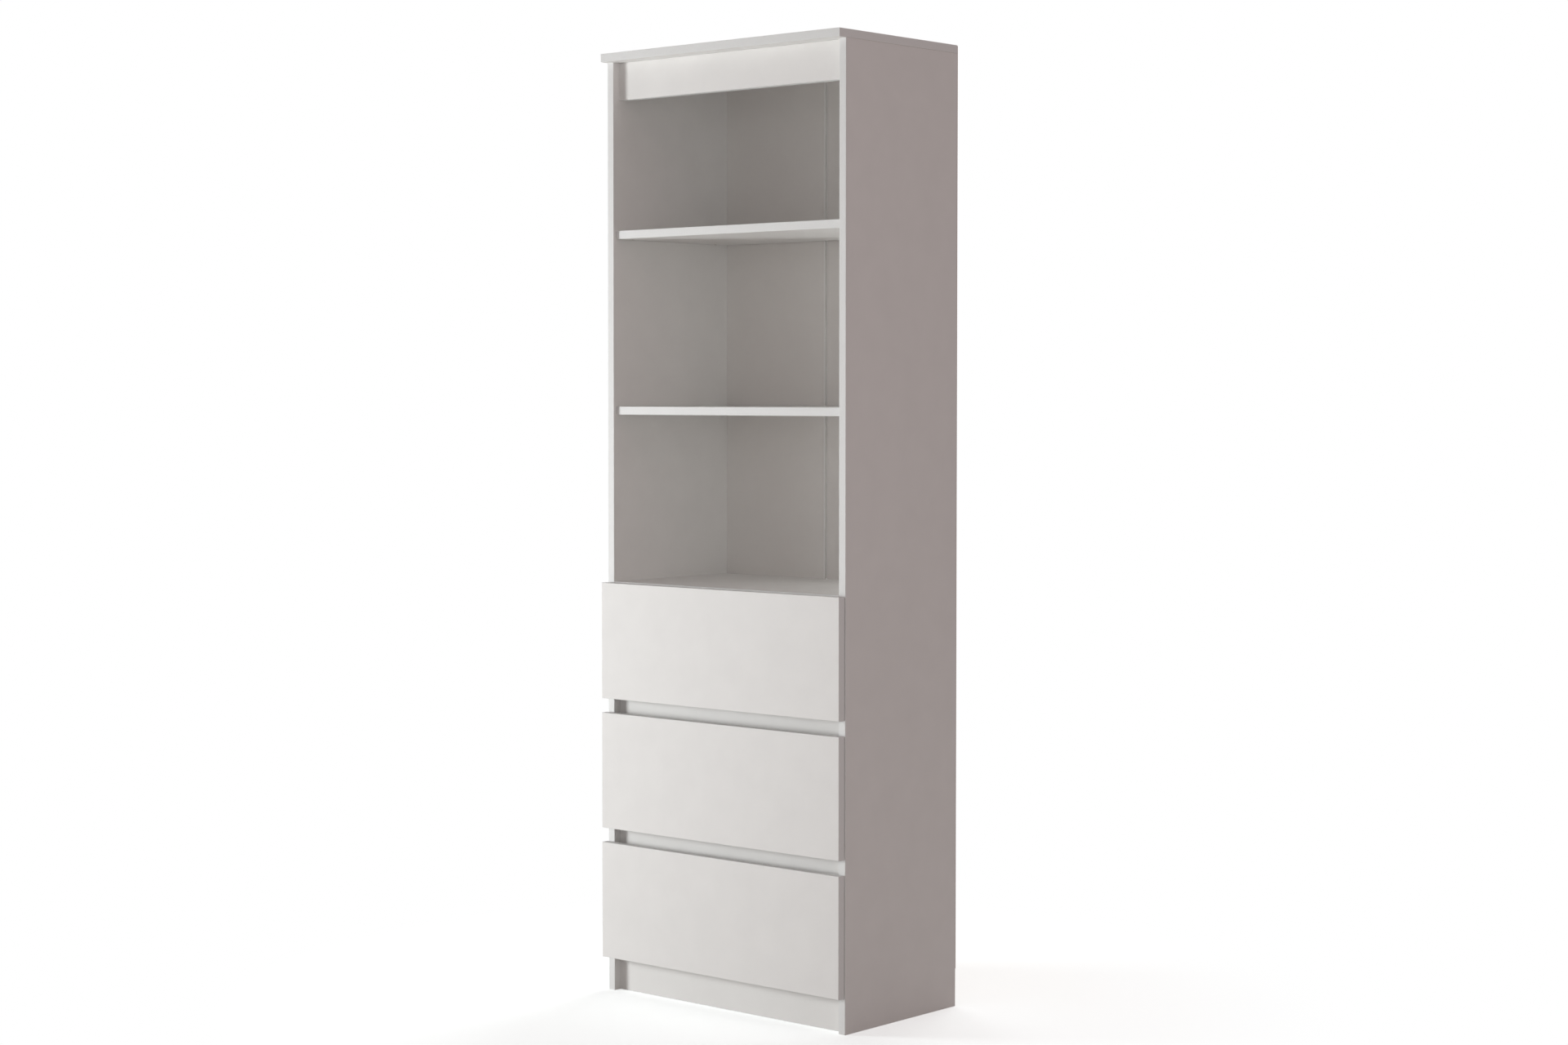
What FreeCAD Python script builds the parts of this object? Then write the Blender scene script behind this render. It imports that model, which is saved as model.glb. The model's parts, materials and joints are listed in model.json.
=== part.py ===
"""Tall narrow bookcase: three open shelf bays above three drawers on roller runners.

Sizes are in millimetres. X runs across the front, +Y goes to the back and +Z goes up.
The origin is on the floor, in the middle of the plan. The drawers are shut.
"""

import FreeCAD, Part
import math
import os

V = FreeCAD.Vector

# ---------------------------------------------------------------- driving dimensions

# Whole bookcase
WIDTH = 600.0
DEPTH = 350.0
HEIGHT = 1820.0

# Boards and sheets
BOARD = 16.0              # melamine-faced chipboard
SHEET = 3.0               # hardboard of the back and of the drawer bottoms
ARRIS = 0.6               # chamfer on the long edges of an edge-banded board

# Levels and front boards
DECK_TOP = 800.0          # top of the fixed deck over the drawers
PLINTH_HEIGHT = 70.0      # floor to the underside of the bottom panel
FASCIA_HEIGHT = 72.0
RAIL_HEIGHT = 60.0
RECESS = 16.0             # fascia, rails and plinth behind the front edges of the side panels

# Loose shelves, evenly spaced over the deck
SHELVES = ("shelf_lower", "shelf_upper")
SHELF_SETBACK = 7.0       # front edge behind the front edges of the side panels
SHELF_END_PLAY = 1.0      # air at each end
SHELF_BACK_PLAY = 2.5     # air behind, clear of the joint strip
PIN_RADIUS = 2.5
PIN_LENGTH = 16.0
PIN_IN_PANEL = 8.0
PIN_INSET = 40.0          # pins from the front and back edge of a shelf
NOTCH_HEIGHT = 6.0        # notches in a shelf's underside that hide the pins
NOTCH_PLAY = 0.5          # beside and past the end of a pin

# Drawer fronts
DRAWERS = ("lower", "middle", "upper")
FRONT_STANDOFF = 2.5      # air between a drawer front and the edges of the side panels
FRONT_GAP = 28.0          # finger gap between two fronts
FRONT_REVEAL = 2.0        # top edge of the uppermost front below the deck's top
FRONT_DROP = 3.0          # bottom edge of the lowest front below the bottom panel

# Drawer boxes
BOX_CLEAR_BELOW = 14.0    # from the board below an opening to the drawer side
BOX_CLEAR_ABOVE = 16.0    # least air above a drawer side
GROOVE_RISE = 10.0        # groove for the bottom sheet above the lower edge of a side
GROOVE_DEPTH = 6.0
GROOVE_PLAY = 0.1         # on each face of the sheet
SHEET_END_PLAY = 0.5      # between a sheet's edge and the bottom of its groove

# Back sheets and the plastic strip that joins them
BACK_INSET = 1.5          # edge of the back inside the outline of the bookcase
BACK_SPLIT = -24.0        # open face of the strip's web, across the width
STRIP_WALL = 1.0
STRIP_GRIP = 2.5          # front wing of the strip past its web
STRIP_PLAY = 0.3          # between the web and the edge of the sheet that it grips
STRIP_SLOT = 5.5          # open slot between the web and the other sheet
STRIP_LEAF = 7.0          # cover of the rear leaf behind each sheet
STRIP_END_PLAY = 0.5

# Roller runners
RUNNER_SPACE = 13.0       # between a drawer side and the side panel
RUNNER_STEP = 50.0        # runners come in lengths of this step
RUNNER_END_PLAY = 2.0     # runner behind the front edge, and at least this at the back
RUNNER_ENGAGED = 75.0     # length that stays in the channel when the drawer is out
STEEL = 1.2
BEND_STEPS = 3            # flats around the outside of a bend
FLANGE_CLEAR = 2.5        # from a flange of the cabinet channel to the drawer side
LIP_CLEAR = 2.7           # from the lip of the drawer member to the side panel
FOOT = 12.0               # flange under the drawer side
ROLLER_RADIUS = 10.0
ROLLER_INSET = 12.0       # centre of a roller from the end of its member
AXLE_RADIUS = 2.5
AXLE_CLEARANCE = 0.05     # radial, running
RIVET_HEAD_RADIUS = 4.0
RIVET_HEAD = 0.6
RIVET_CLEAR = 1.7         # from the head of a rivet to the web that passes it
SCREW_HOLE_RADIUS = 2.25  # in the web of the channel
SCREW_INSET = 37.0        # screws from each end of the channel
SIDE_PLAY = 0.4           # on each face of a roller
TRACK_GAP = 0.3           # between a roller and the steel that it carries or rolls on
ROOF_GAP = 0.7            # between a rear roller and the top flange
LIP_GAP = 1.0             # between the lip and the top flange
LUG_HEIGHT = 4.0          # stops at both ends of the track

# Knock-down fittings. They lie inside the boards and are drawn as slim prisms.
FITTING_SIDES = 8
SEAT = 0.05               # radial clearance of a fitting in its bore
BORE_BOTTOM = 0.5         # air at the bottom of a blind bore
CAM_RADIUS = 7.5
CAM_PAST_BOLT = 4.0       # inner end of a cam past the middle of the board
CAM_REACH = 24.0          # centre of a cam from the joint
BOLT_RADIUS = 3.0
BOLT_BORE_RADIUS = 4.0
BOLT_PAST_CAM = 3.0       # end of the bolt past the centre of the cam
SLOT_PLAY = 1.0           # from the end of the bolt to the end of the cam's slot
SLOT_ROOF_PLAY = 1.0      # from the bolt to the roof of the slot
THREAD_LENGTH = 11.0      # part of the bolt that is screwed into the mating board
DOWEL_RADIUS = 4.0
DOWEL_LENGTH = 30.0
DOWEL_IN_FACE = 10.0      # part of the dowel in the face of the mating board
FITTING_INSET = 50.0      # cams from the front and back edge of a level board
DOWEL_INSET = 15.0        # dowels from the top and bottom edge of a rail
BOX_FITTING_INSET = 45.0  # cam and dowel from the top and bottom edge of a drawer side

# Wall brackets under the top panel
BRACKET_LEG = 27.0
BRACKET_WIDTH = 20.0
BRACKET_STEEL = 2.0
BRACKET_SPACING = 400.0
WALL_HOLE_RADIUS = 3.0
WALL_HOLE_DROP = 16.0     # wall hole below the top panel
ARM_HOLE_RADIUS = 2.25    # screw up into the top panel

# ---------------------------------------------------------------- derived places

outer_x = WIDTH / 2
inner_x = outer_x - BOARD
front_y = -DEPTH / 2
front_back_y = front_y + BOARD
side_front_y = front_back_y + FRONT_STANDOFF
rail_front_y = side_front_y + RECESS
rail_back_y = rail_front_y + BOARD
rear_y = DEPTH / 2 - STRIP_WALL
carcass_back_y = rear_y - SHEET

cam_height = BOARD / 2 + CAM_PAST_BOLT
top_under = HEIGHT - BOARD
deck_under = DECK_TOP - BOARD
bottom_top = PLINTH_HEIGHT + BOARD
shelf_pitch = (HEIGHT - DECK_TOP) / (len(SHELVES) + 1)
shelf_tops = [DECK_TOP + shelf_pitch * (i + 1) for i in range(len(SHELVES))]

# Drawer fronts share the height between the plinth and the deck.
front_low = PLINTH_HEIGHT - FRONT_DROP
front_high = DECK_TOP - FRONT_REVEAL
front_height = (front_high - front_low - FRONT_GAP * (len(DRAWERS) - 1)) / len(DRAWERS)
front_pitch = front_height + FRONT_GAP
front_bottoms = [front_low + front_pitch * i for i in range(len(DRAWERS))]
rail_middles = [z - FRONT_GAP / 2 for z in front_bottoms[1:]]

# Each opening runs from one cross board to the next.
opening_floors = [bottom_top] + [z + RAIL_HEIGHT / 2 for z in rail_middles]
opening_roofs = [z - RAIL_HEIGHT / 2 for z in rail_middles] + [deck_under]
least_opening = min(roof - floor for floor, roof in zip(opening_floors, opening_roofs))
box_height = least_opening - BOX_CLEAR_BELOW - BOX_CLEAR_ABOVE
box_bottoms = [floor + BOX_CLEAR_BELOW for floor in opening_floors]

# The longest runner of the range that fits the depth sets the drawer's depth.
runner_room = carcass_back_y - STRIP_WALL - side_front_y - 2 * RUNNER_END_PLAY
runner_length = math.floor(runner_room / RUNNER_STEP) * RUNNER_STEP
travel = runner_length - RUNNER_ENGAGED
box_outer_x = inner_x - RUNNER_SPACE
box_inner_x = box_outer_x - BOARD
box_back_y = front_back_y + runner_length
roller_width = RUNNER_SPACE - 2 * (STEEL + SIDE_PLAY) - RIVET_HEAD - RIVET_CLEAR

# Heights in a runner are counted from its track, the top of the lower flange.
rear_roller_z = ROLLER_RADIUS + TRACK_GAP
roof_z = rear_roller_z + ROLLER_RADIUS + ROOF_GAP
lip_top_z = roof_z - LIP_GAP
lip_low_z = lip_top_z - STEEL
front_roller_z = lip_low_z - TRACK_GAP - ROLLER_RADIUS

channel_front_y = side_front_y + RUNNER_END_PLAY
channel_back_y = channel_front_y + runner_length
front_roller_y = channel_front_y + ROLLER_INSET
rear_roller_y = box_back_y - ROLLER_INSET
lug_reach = math.sqrt(ROLLER_RADIUS**2 - (rear_roller_z - LUG_HEIGHT) ** 2) + TRACK_GAP

# ---------------------------------------------------------------- building blocks

nodes = {}
bores = {}


def keep(name, *solids):
    """Adds solids to a node."""
    nodes.setdefault(name, []).extend(solids)


def block(x0, x1, y0, y1, z0, z1):
    """A box between two corners."""
    return Part.makeBox(x1 - x0, y1 - y0, z1 - z0, V(x0, y0, z0))


def eased_block(x0, x1, y0, y1, z0, z1, chosen):
    """A board with chamfered edges. chosen(middle, direction) picks them."""
    board = block(x0, x1, y0, y1, z0, z1)
    edges = []
    for edge in board.Edges:
        a, b = (v.Point for v in edge.Vertexes)
        if chosen((a + b) * 0.5, (b - a).normalize()):
            edges.append(edge)
    return board.makeChamfer(ARRIS, edges)


def rod(start, direction, length, radius):
    """A cylinder that starts at a point and runs along a direction."""
    return Part.makeCylinder(radius, length, start, direction)


def prism(start, direction, length, radius, sides):
    """A many-sided bar that starts at a point and runs along a direction."""
    turn = FreeCAD.Rotation(V(0, 0, 1), direction)
    corners = []
    for i in range(sides):
        angle = 2 * math.pi * i / sides
        offset = V(radius * math.cos(angle), radius * math.sin(angle), 0)
        corners.append(start + turn.multVec(offset))
    outline = Part.Face(Part.makePolygon(corners + corners[:1]))
    return outline.extrude(direction * length)


def bore(name, start, direction, length, radius, sides):
    """Notes a blind bore, to be cut in a node before it is written."""
    depth = length + BORE_BOTTOM
    drill = prism(start, direction, depth, radius + SEAT, sides)
    bores.setdefault(name, []).append(drill)


def mirrored(shape):
    """The same piece for the other side of the bookcase."""
    return shape.mirror(V(0, 0, 0), V(1, 0, 0))


def panel_name(side):
    """The side panel on the side of X that the sign gives."""
    return "side_panel_right" if side > 0 else "side_panel_left"


# ---------------------------------------------------------------- knock-down fittings


def cam_joint(board, mate, point, into, open_face, group="cam"):
    """Joins the end of a board to the face of its mate.

    point is on the joint, at half the board's thickness. into points from the joint into
    the board, and open_face points from the bolt to the face in which the cam lies.
    """
    inward = open_face * -1
    centre = point + into * CAM_REACH
    face = centre + open_face * (BOARD / 2)
    bore(board, face, inward, cam_height, CAM_RADIUS, FITTING_SIDES)
    bore(board, point, into, CAM_REACH, BOLT_BORE_RADIUS, FITTING_SIDES)
    bore(mate, point, into * -1, THREAD_LENGTH, BOLT_RADIUS, FITTING_SIDES)

    # The slot of the cam lets the bolt in from the joint and is open at the inner end.
    across = into.cross(open_face) * BOLT_BORE_RADIUS
    near = centre - into * CAM_RADIUS + inward * cam_height
    far = centre + into * (BOLT_PAST_CAM + SLOT_PLAY) + inward * cam_height
    outline = [near - across, near + across, far + across, far - across, near - across]
    slot_height = cam_height + BOLT_RADIUS + SLOT_ROOF_PLAY
    slot = Part.Face(Part.makePolygon(outline)).extrude(open_face * slot_height)
    cam = prism(face, inward, cam_height, CAM_RADIUS, FITTING_SIDES).cut(slot)
    keep(f"{group}_locks", cam)

    start = point - into * THREAD_LENGTH
    bolt_length = THREAD_LENGTH + CAM_REACH + BOLT_PAST_CAM
    keep(f"{group}_bolts", prism(start, into, bolt_length, BOLT_RADIUS, FITTING_SIDES))


def dowel_joint(board, mate, point, into, group="dowels"):
    """A fluted wooden dowel from the face of the mate into the end of the board."""
    in_end = DOWEL_LENGTH - DOWEL_IN_FACE
    bore(board, point, into, in_end, DOWEL_RADIUS, FITTING_SIDES)
    bore(mate, point, into * -1, DOWEL_IN_FACE, DOWEL_RADIUS, FITTING_SIDES)
    start = point - into * DOWEL_IN_FACE
    keep(group, prism(start, into, DOWEL_LENGTH, DOWEL_RADIUS, FITTING_SIDES))


# ---------------------------------------------------------------- carcass


def side_panels():
    """Full-height sides that stand on the floor and carry the top panel."""

    def front_edges(middle, direction):
        return abs(direction.z) > 0.9 and middle.y < carcass_back_y

    extent = (side_front_y, carcass_back_y, 0, top_under)
    keep(panel_name(1), eased_block(inner_x, outer_x, *extent, front_edges))
    keep(panel_name(-1), eased_block(-outer_x, -inner_x, *extent, front_edges))


def top_panel():
    """Lies on the side panels and reaches forward as far as the drawer fronts."""

    def level_edges(middle, direction):
        return abs(direction.z) < 0.1 and middle.y < carcass_back_y

    extent = (-outer_x, outer_x, front_y, carcass_back_y, top_under, HEIGHT)
    keep("top_panel", eased_block(*extent, level_edges))
    for side in (-1, 1):
        for y in (side_front_y + FITTING_INSET, carcass_back_y - FITTING_INSET):
            point = V(side * (outer_x - BOARD / 2), y, top_under)
            cam_joint(panel_name(side), "top_panel", point, V(0, 0, -1), V(-side, 0, 0))


def long_front_edges(middle, direction):
    """The two front edges of a board that runs from side to side."""
    return abs(direction.x) > 0.9 and middle.y < rail_back_y


def fixed_board(name, y0, top):
    """A level board that is held between the side panels by cams in its underside."""
    extent = (-inner_x, inner_x, y0, carcass_back_y, top - BOARD, top)
    keep(name, eased_block(*extent, long_front_edges))
    for side in (-1, 1):
        for y in (y0 + FITTING_INSET, carcass_back_y - FITTING_INSET):
            point = V(side * inner_x, y, top - BOARD / 2)
            cam_joint(name, panel_name(side), point, V(-side, 0, 0), V(0, 0, -1))


def shelf(name, top):
    """A loose shelf on four steel pins. Notches in its underside drop over them."""
    half = inner_x - SHELF_END_PLAY
    y0 = side_front_y + SHELF_SETBACK
    y1 = carcass_back_y - SHELF_BACK_PLAY
    low = top - BOARD
    board = eased_block(-half, half, y0, y1, low, top, long_front_edges)
    notch_x = inner_x - (PIN_LENGTH - PIN_IN_PANEL) - NOTCH_PLAY
    notch_reach = PIN_RADIUS + NOTCH_PLAY
    pin_z = low + NOTCH_HEIGHT - PIN_RADIUS - SEAT
    for y in (y0 + PIN_INSET, y1 - PIN_INSET):
        notch = block(notch_x, half, y - notch_reach, y + notch_reach, low, low + NOTCH_HEIGHT)
        board = board.cut([notch, mirrored(notch)])
        for side in (-1, 1):
            face = V(side * inner_x, y, pin_z)
            outward = V(side, 0, 0)
            bore(panel_name(side), face, outward, PIN_IN_PANEL, PIN_RADIUS, FITTING_SIDES)
            start = face + outward * PIN_IN_PANEL
            keep("shelf_pins", prism(start, outward * -1, PIN_LENGTH, PIN_RADIUS, FITTING_SIDES))
    keep(name, board)


def front_board(name, z0, z1, dowel_heights):
    """A board on edge between the side panels, behind their front edges."""
    extent = (-inner_x, inner_x, rail_front_y, rail_back_y, z0, z1)
    keep(name, eased_block(*extent, long_front_edges))
    for side in (-1, 1):
        for z in dowel_heights:
            point = V(side * inner_x, (rail_front_y + rail_back_y) / 2, z)
            dowel_joint(name, panel_name(side), point, V(-side, 0, 0))


def front_boards():
    """Fascia under the top, a rail behind each finger gap, and the plinth."""
    front_board("top_fascia", top_under - FASCIA_HEIGHT, top_under, [top_under - FASCIA_HEIGHT / 2])
    front_board("plinth_front", 0, PLINTH_HEIGHT, [PLINTH_HEIGHT / 2])
    for name, middle in zip(("drawer_rail_lower", "drawer_rail_upper"), rail_middles):
        z0, z1 = middle - RAIL_HEIGHT / 2, middle + RAIL_HEIGHT / 2
        front_board(name, z0, z1, [z0 + DOWEL_INSET, z1 - DOWEL_INSET])


def back():
    """Two hardboard sheets on the rear edges, and the strip that closes the slot between them.

    The strip grips the edge of the left sheet, and its rear leaf lies behind both.
    """
    web_x = BACK_SPLIT - STRIP_WALL
    left_edge, right_edge = web_x - STRIP_PLAY, BACK_SPLIT + STRIP_SLOT
    outer_edge = outer_x - BACK_INSET
    upright = (carcass_back_y, rear_y, PLINTH_HEIGHT + BACK_INSET, HEIGHT - BACK_INSET)
    keep("back_panel_left", block(-outer_edge, left_edge, *upright))
    keep("back_panel_right", block(right_edge, outer_edge, *upright))

    # The strip is cut to fit above and below the deck.
    wing_y = carcass_back_y - STRIP_WALL
    leaf_x = left_edge - STRIP_LEAF, right_edge + STRIP_LEAF
    for floor, roof in ((bottom_top, deck_under), (DECK_TOP, top_under)):
        z0, z1 = floor + STRIP_END_PLAY, roof - STRIP_END_PLAY
        wing = block(web_x - STRIP_GRIP, BACK_SPLIT, wing_y, carcass_back_y, z0, z1)
        web = block(web_x, BACK_SPLIT, carcass_back_y, rear_y, z0, z1)
        leaf = block(*leaf_x, rear_y, rear_y + STRIP_WALL, z0, z1)
        keep("back_joint_strip", wing.fuse([web, leaf]).removeSplitter())


def wall_brackets():
    """Two steel angles under the top panel that tie the bookcase to a wall."""
    y, z = carcass_back_y, top_under
    for side, sheet in ((-1, "back_panel_left"), (1, "back_panel_right")):
        x = side * BRACKET_SPACING / 2
        x0, x1 = x - BRACKET_WIDTH / 2, x + BRACKET_WIDTH / 2
        upright = block(x0, x1, y - BRACKET_STEEL, y, z - BRACKET_LEG, z)
        arm = block(x0, x1, y - BRACKET_LEG, y, z - BRACKET_STEEL, z)
        angle = upright.fuse(arm).removeSplitter()
        wall_hole = V(x, y - BRACKET_STEEL, z - WALL_HOLE_DROP)
        wall_drill = rod(wall_hole, V(0, 1, 0), BRACKET_STEEL + SHEET, WALL_HOLE_RADIUS)
        arm_hole = V(x, y - BRACKET_LEG / 2, z - BRACKET_STEEL)
        arm_drill = prism(arm_hole, V(0, 0, 1), BRACKET_STEEL, ARM_HOLE_RADIUS, FITTING_SIDES)
        keep("wall_brackets", angle.cut([wall_drill, arm_drill]))
        bores.setdefault(sheet, []).append(wall_drill)


# ---------------------------------------------------------------- roller runners
# A runner is drawn for the right-hand side and mirrored for the left.


def steel_section(points, y0, y1):
    """A folded steel section, outlined across X and Z and drawn out along Y."""
    corners = [V(x, y0, z) for x, z in points]
    return Part.Face(Part.makePolygon(corners + corners[:1])).extrude(V(0, y1 - y0, 0))


def bend(inside_x, inside_z, quarter):
    """Points around the outside of a bend, from the given quarter turn to the next."""
    points = []
    for step in range(BEND_STEPS + 1):
        angle = (quarter + step / BEND_STEPS) * math.pi / 2
        points.append((inside_x + STEEL * math.cos(angle), inside_z + STEEL * math.sin(angle)))
    return points


def axle(web_x, y, z, outward):
    """The rivet on which a roller turns: a shaft on the web, and a head."""
    shaft_length = roller_width + 2 * SIDE_PLAY
    direction = V(outward, 0, 0)
    shaft = rod(V(web_x, y, z), direction, shaft_length, AXLE_RADIUS)
    end = V(web_x + outward * shaft_length, y, z)
    head = prism(end, direction, RIVET_HEAD, RIVET_HEAD_RADIUS, FITTING_SIDES)
    return shaft.fuse(head)


def roller(web_x, y, z, outward):
    """A nylon wheel with a plain bore."""
    start = V(web_x + outward * SIDE_PLAY, y, z)
    direction = V(outward, 0, 0)
    wheel = rod(start, direction, roller_width, ROLLER_RADIUS)
    return wheel.cut(rod(start, direction, roller_width, AXLE_RADIUS + AXLE_CLEARANCE))


def cabinet_runner(track):
    """Channel on the side panel, with a roller at its front and a stop at each end."""
    web_x = inner_x - STEEL
    tip_x = box_outer_x + FLANGE_CLEAR
    low, roof = track - STEEL, track + roof_z
    outline = [
        *bend(web_x, track, -1), *bend(web_x, roof, 0), (tip_x, roof + STEEL), (tip_x, roof),
        (web_x, roof), (web_x, track), (tip_x, track), (tip_x, low),
    ]
    channel = steel_section(outline, channel_front_y, channel_back_y)
    clear_y = front_roller_y + ROLLER_RADIUS + STEEL
    channel = channel.cut(block(tip_x, web_x, channel_front_y, clear_y, low, track))

    for y in (channel_front_y + SCREW_INSET, channel_back_y - SCREW_INSET):
        hole = V(web_x, y, track + roof_z / 2)
        drill = prism(hole, V(1, 0, 0), STEEL, SCREW_HOLE_RADIUS, FITTING_SIDES)
        channel = channel.cut(drill)

    # A lug at each end of the track meets the rear roller of the drawer.
    open_y = rear_roller_y - travel - lug_reach
    shut_y = rear_roller_y + lug_reach
    lugs = []
    for y in (open_y - STEEL, shut_y):
        lugs.append(block(tip_x, web_x, y, y + STEEL, track, track + LUG_HEIGHT))
    pivot = (web_x, front_roller_y, track + front_roller_z, -1)
    return channel.fuse(lugs + [axle(*pivot)]).removeSplitter(), roller(*pivot)


def drawer_runner(track):
    """Member under the drawer side: its lip rides on the front roller of the channel."""
    web_x = box_outer_x + STEEL
    tip_x = inner_x - LIP_CLEAR
    foot_x = box_outer_x - FOOT
    lip_low, lip_top = track + lip_low_z, track + lip_top_z
    foot_top = track + STEEL
    outline = [
        (foot_x, track), *bend(box_outer_x, foot_top, -1), (web_x, lip_low), (tip_x, lip_low),
        (tip_x, lip_top), *bend(web_x, lip_low, 1), (box_outer_x, foot_top), (foot_x, foot_top),
    ]
    member = steel_section(outline, front_back_y, box_back_y)
    lip_end_y = rear_roller_y - ROLLER_RADIUS - STEEL
    member = member.cut(block(web_x, tip_x, lip_end_y, box_back_y, lip_low, lip_top))
    pivot = (web_x, rear_roller_y, track + rear_roller_z, 1)
    return member.fuse(axle(*pivot)).removeSplitter(), roller(*pivot)


def runners(drawer, box_bottom):
    """Both runners of one drawer, with their four rollers."""
    track = box_bottom - STEEL
    for place, (member, wheel) in (
        ("cabinet", cabinet_runner(track)),
        ("drawer", drawer_runner(track)),
    ):
        keep(f"{place}_runners_{drawer}", member, mirrored(member))
        keep(f"{place}_rollers_{drawer}", wheel, mirrored(wheel))


# ---------------------------------------------------------------- drawers


def drawer(name, front_bottom, box_bottom):
    """A front that laps the side panels, a box of boards, and a bottom in grooves."""

    def face_edges(middle, direction):
        return abs(direction.y) < 0.1

    groove_low = box_bottom + GROOVE_RISE
    sheet_low = groove_low + GROOVE_PLAY
    sheet_top = sheet_low + SHEET
    groove_x = box_inner_x + GROOVE_DEPTH
    groove_y = front_back_y - GROOVE_DEPTH
    groove_extent = (-groove_x, groove_x, groove_y, box_back_y)
    groove = block(*groove_extent, groove_low, sheet_top + GROOVE_PLAY)

    front_top = front_bottom + front_height
    extent = (-outer_x, outer_x, front_y, front_back_y, front_bottom, front_top)
    front = f"drawer_front_{name}"
    keep(front, eased_block(*extent, face_edges).cut(groove))

    box_top = box_bottom + box_height
    side_extent = (front_back_y, box_back_y, box_bottom, box_top)
    right = block(box_inner_x, box_outer_x, *side_extent).cut(groove)
    into, middle_x = V(0, 1, 0), box_outer_x - BOARD / 2
    for side, word, board in ((1, "right", right), (-1, "left", mirrored(right))):
        node = f"drawer_side_{word}_{name}"
        keep(node, board)
        cam_point = V(side * middle_x, front_back_y, box_top - BOX_FITTING_INSET)
        cam_joint(node, front, cam_point, into, V(-side, 0, 0), f"drawer_cam_{name}")
        dowel_point = V(side * middle_x, front_back_y, box_bottom + BOX_FITTING_INSET)
        dowel_joint(node, front, dowel_point, into, f"drawer_dowels_{name}")

    # The back stands on the bottom sheet, which slides in under it.
    back_extent = (-box_inner_x, box_inner_x, box_back_y - BOARD, box_back_y)
    keep(f"drawer_back_{name}", block(*back_extent, sheet_top, box_top))
    sheet_x, sheet_y = groove_x - SHEET_END_PLAY, groove_y + SHEET_END_PLAY
    sheet = block(-sheet_x, sheet_x, sheet_y, box_back_y, sheet_low, sheet_top)
    keep(f"drawer_bottom_{name}", sheet)


# ---------------------------------------------------------------- assembly

side_panels()
top_panel()
fixed_board("bottom_panel", rail_front_y, bottom_top)
fixed_board("deck_panel", side_front_y, DECK_TOP)
for shelf_name, shelf_top in zip(SHELVES, shelf_tops):
    shelf(shelf_name, shelf_top)
front_boards()
back()
wall_brackets()
for drawer_name, low_edge, box_low in zip(DRAWERS, front_bottoms, box_bottoms):
    drawer(drawer_name, low_edge, box_low)
    runners(drawer_name, box_low)

os.makedirs("parts", exist_ok=True)
for node, solids in nodes.items():
    if node in bores:
        solids = [solid.cut(bores[node]) for solid in solids]
    shape = solids[0] if len(solids) == 1 else Part.makeCompound(solids)
    shape.exportStep(f"parts/{node}.step")
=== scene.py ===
import json
import math

import bmesh
import bpy
from mathutils import Matrix, Vector


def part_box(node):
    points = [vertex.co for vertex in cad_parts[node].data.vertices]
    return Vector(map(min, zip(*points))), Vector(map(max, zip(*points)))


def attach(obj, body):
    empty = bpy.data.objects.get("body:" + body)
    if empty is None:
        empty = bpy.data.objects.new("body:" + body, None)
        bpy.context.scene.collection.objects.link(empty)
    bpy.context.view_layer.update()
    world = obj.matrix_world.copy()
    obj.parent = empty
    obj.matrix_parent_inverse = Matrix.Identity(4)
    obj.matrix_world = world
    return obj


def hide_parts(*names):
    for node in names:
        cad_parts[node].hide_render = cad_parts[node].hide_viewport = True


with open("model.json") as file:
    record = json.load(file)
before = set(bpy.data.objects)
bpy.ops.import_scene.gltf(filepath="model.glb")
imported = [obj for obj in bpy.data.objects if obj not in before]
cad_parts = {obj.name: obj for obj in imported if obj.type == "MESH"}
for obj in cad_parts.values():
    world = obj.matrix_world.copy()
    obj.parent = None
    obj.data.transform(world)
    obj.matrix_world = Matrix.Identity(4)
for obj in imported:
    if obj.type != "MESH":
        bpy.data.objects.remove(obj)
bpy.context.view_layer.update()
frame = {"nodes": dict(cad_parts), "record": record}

# ---------------------------------------------------------------- side panels
# Two full-height sides of 16 mm chipboard, pressed with white melamine foil on both faces. The
# front edge is banded and stands in view; the ends and the rear edge are sawn and left bare.

MM = 0.001
COLOUR_A, COLOUR_B, COLOUR_OUT = 6, 7, 2  # the colour sockets of a Mix node
VALUE_A, VALUE_B = 2, 3                   # its number sockets
CHANCE_MOST, CHANCE_OUT = 3, 1            # the number sockets of a Random Value node

record = frame["record"]
body_of = {node: body for body, nodes in record["behaviour"]["bodies"].items() for node in nodes}


def linear(colour):
    """The linear colour of an sRGB hex value."""
    channels = []
    for start in (1, 3, 5):
        value = int(colour[start:start + 2], 16) / 255
        channels.append(value / 12.92 if value <= 0.04045 else ((value + 0.055) / 1.055) ** 2.4)
    return (*channels, 1.0)


def add(tree, kind, settings={}, links={}):
    """Adds a node: settings fill its properties and inputs, and links join sockets to its inputs."""
    node = tree.nodes.new(kind)
    for name, value in settings.items():
        if isinstance(name, str) and hasattr(node, name):
            setattr(node, name, value)
        else:
            node.inputs[name].default_value = value
    for name, socket in links.items():
        tree.links.new(socket, node.inputs[name])
    return node


def bare_material(name):
    """A material with an empty tree, and the Object coordinates that its patterns read."""
    material = bpy.data.materials.new(name)
    material.use_nodes = True
    material.node_tree.nodes.clear()
    place = add(material.node_tree, "ShaderNodeTexCoord").outputs["Object"]
    return material, material.node_tree, place


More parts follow.
